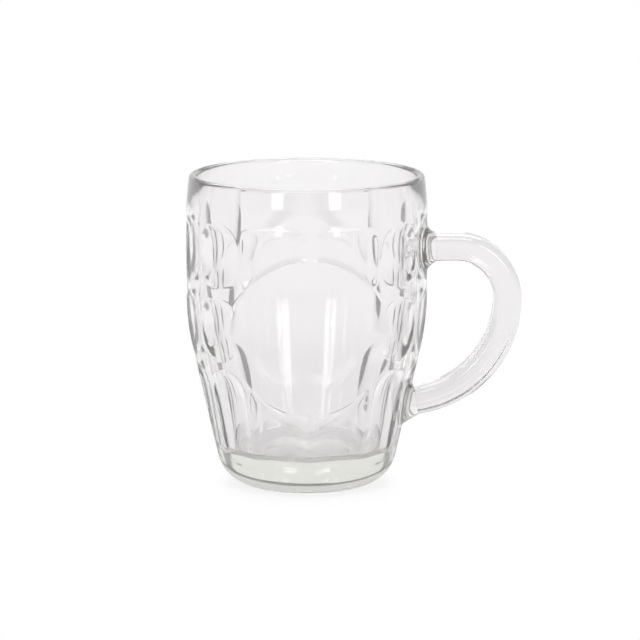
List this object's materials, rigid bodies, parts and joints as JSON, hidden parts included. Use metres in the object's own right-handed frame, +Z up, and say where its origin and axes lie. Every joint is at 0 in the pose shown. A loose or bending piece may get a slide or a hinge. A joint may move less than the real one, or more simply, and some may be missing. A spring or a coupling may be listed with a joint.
{
  "type": "beer mug",
  "caption": "Dimpled pressed-glass beer mug with plain round panels front and back, a thick base and a loop handle fused to stubs on its side.",
  "frame": {"origin": "on the mug's axis, in the plane of the foot ring that it stands on", "axes": "+Z up along the mug's axis, +X out through the handle, -Y out through the front round panel"},
  "size_m": [0.1337, 0.096, 0.125],
  "materials": {
    "body_glass": "clear pressed glass with a faint green tint, fire polished",
    "handle_glass": "clear glass, fire polished"
  },
  "bodies": {
    "root": {"mug_body": "body_glass", "handle": "handle_glass"}
  },
  "joints": []
}
